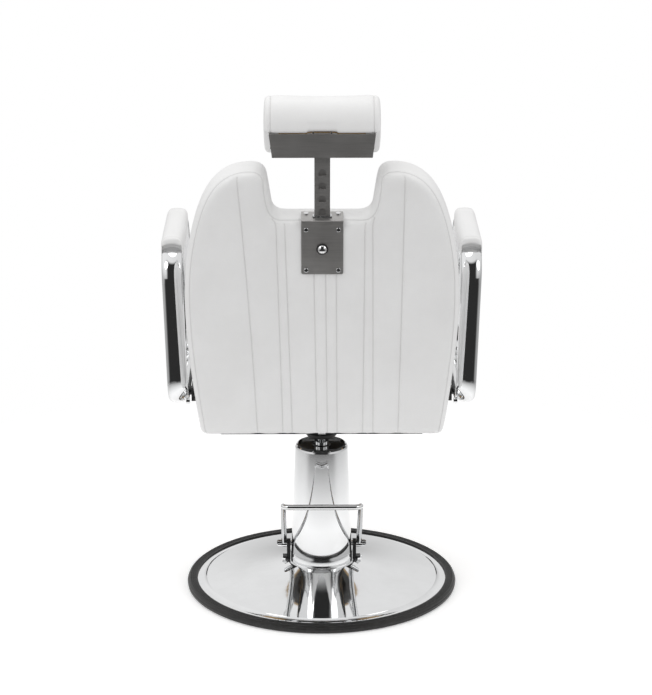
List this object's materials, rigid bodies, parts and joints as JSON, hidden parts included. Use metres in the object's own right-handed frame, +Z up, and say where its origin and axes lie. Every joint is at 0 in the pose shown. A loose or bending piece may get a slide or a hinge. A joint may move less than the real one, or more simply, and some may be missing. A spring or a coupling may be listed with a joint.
{
  "type": "hydraulic barber chair",
  "caption": "Barber chair with a foot-pumped round base, swivelling vinyl seat, chrome loop arms, reclining back and an adjustable headrest on a slotted bar.",
  "frame": {"origin": "the column's axis at floor level", "axes": "+Z up, the chair faces -Y, +X towards the sitter's left"},
  "size_m": [0.688, 0.9938, 1.1958],
  "materials": {
    "white_vinyl": "satin",
    "chrome": "polished",
    "brushed_steel": "satin",
    "black_steel": "satin",
    "zinc_hardware": "satin",
    "cast_iron": "matte",
    "black_rubber": "matte",
    "plywood": "matte",
    "tread_aluminium": "satin"
  },
  "bodies": {
    "base": {"rubber_ring": "black_rubber", "base_dome": "chrome", "base_core_plate": "cast_iron", "base_bolts": "zinc_hardware", "pump_foot": "chrome", "pedal_lugs": "black_steel", "pump_block": "cast_iron", "oil_cylinder": "zinc_hardware", "gland_nut": "zinc_hardware", "ram_wiper_seal": "black_rubber", "pump_cover": "chrome", "cover_cap": "chrome"},
    "pedal": {"pedal_rod": "chrome", "pedal_hubs": "chrome", "pedal_shaft": "chrome", "pedal_cam": "zinc_hardware"},
    "plunger": {"pump_plunger": "zinc_hardware"},
    "ram": {"lift_ram": "chrome", "ram_piston": "zinc_hardware", "piston_seal": "black_rubber"},
    "seat": {"seat_hub": "black_steel", "seat_mount_plate": "black_steel", "mount_bolts": "zinc_hardware", "seat_frame": "black_steel", "seat_board": "plywood", "seat_cushion": "white_vinyl", "arm_frame_left": "chrome", "arm_frame_right": "chrome", "arm_pad_left": "white_vinyl", "arm_pad_right": "white_vinyl", "arm_bracket_left": "black_steel", "arm_bracket_right": "black_steel", "arm_bolts": "zinc_hardware", "arm_plugs": "chrome", "recline_pins": "zinc_hardware", "strut_release_head": "cast_iron", "strut_cylinder": "black_steel", "footrest_frame": "chrome", "footrest_tread": "tread_aluminium", "tread_bolts": "zinc_hardware"},
    "strut_rod": {"strut_rod": "chrome"},
    "lever": {"recline_lever": "black_steel", "lever_grip": "black_rubber"},
    "back": {"back_hinge_left": "black_steel", "back_hinge_right": "black_steel", "recline_cross_rod": "black_steel", "back_board": "plywood", "back_rear_panel": "white_vinyl", "back_cushion": "white_vinyl", "bar_guide": "zinc_hardware", "headrest_plate": "brushed_steel", "plate_screws": "chrome", "button_collar": "black_steel"},
    "button": {"headrest_button": "chrome"},
    "headrest_bar": {"headrest_bar": "brushed_steel"},
    "headrest": {"headrest_tray": "brushed_steel", "tilt_pin": "zinc_hardware", "headrest_board": "plywood", "headrest_cushion": "white_vinyl", "tray_screws": "chrome"}
  },
  "joints": [
    {"name": "seat_lift", "type": "slide", "parent": "base", "child": "ram", "axis": [0, 0, 1], "range_m": [0, 0.15]},
    {"name": "seat_swivel", "type": "hinge", "parent": "ram", "child": "seat", "pos_m": [0, 0, 0.352], "axis": [0, 0, 1], "continuous": true},
    {"name": "pedal_press", "type": "hinge", "parent": "base", "child": "pedal", "pos_m": [0, 0, 0.094], "axis": [-1, 0, 0], "range_deg": [0, 25], "stiffness_Nm_per_rad": 4, "springref_deg": -40.11},
    {"name": "plunger_stroke", "type": "slide", "parent": "base", "child": "plunger", "axis": [0, 0, 1], "range_m": [0, 0.0201]},
    {"name": "back_recline", "type": "hinge", "parent": "seat", "child": "back", "pos_m": [0, 0.15, 0.462], "axis": [-1, 0, 0], "range_deg": [0, 40]},
    {"name": "strut_stroke", "type": "slide", "parent": "seat", "child": "strut_rod", "axis": [0, -1, 0], "range_m": [0, 0.0289]},
    {"name": "recline_lever_pull", "type": "hinge", "parent": "seat", "child": "lever", "pos_m": [0, -0.182, 0.424], "axis": [-1, 0, 0], "range_deg": [0, 20], "stiffness_Nm_per_rad": 1, "springref_deg": -28.65},
    {"name": "headrest_height", "type": "slide", "parent": "back", "child": "headrest_bar", "axis": [0, 0.1736, 0.9848], "range_m": [0, 0.087]},
    {"name": "headrest_tilt", "type": "hinge", "parent": "headrest_bar", "child": "headrest", "pos_m": [0, 0.37118, 1.11369], "axis": [1, 0, 0], "range_deg": [-20, 25]},
    {"name": "headrest_release", "type": "slide", "parent": "back", "child": "button", "axis": [0, -0.9848, 0.1736], "range_m": [0, 0.004], "stiffness_N_per_m": 600, "springref_m": -0.003}
  ],
  "couplings": [
    {"joint": "plunger_stroke", "follows": "pedal_press", "m_per_rad": 0.04561},
    {"joint": "strut_stroke", "follows": "back_recline", "m_per_rad": 0.04115}
  ]
}
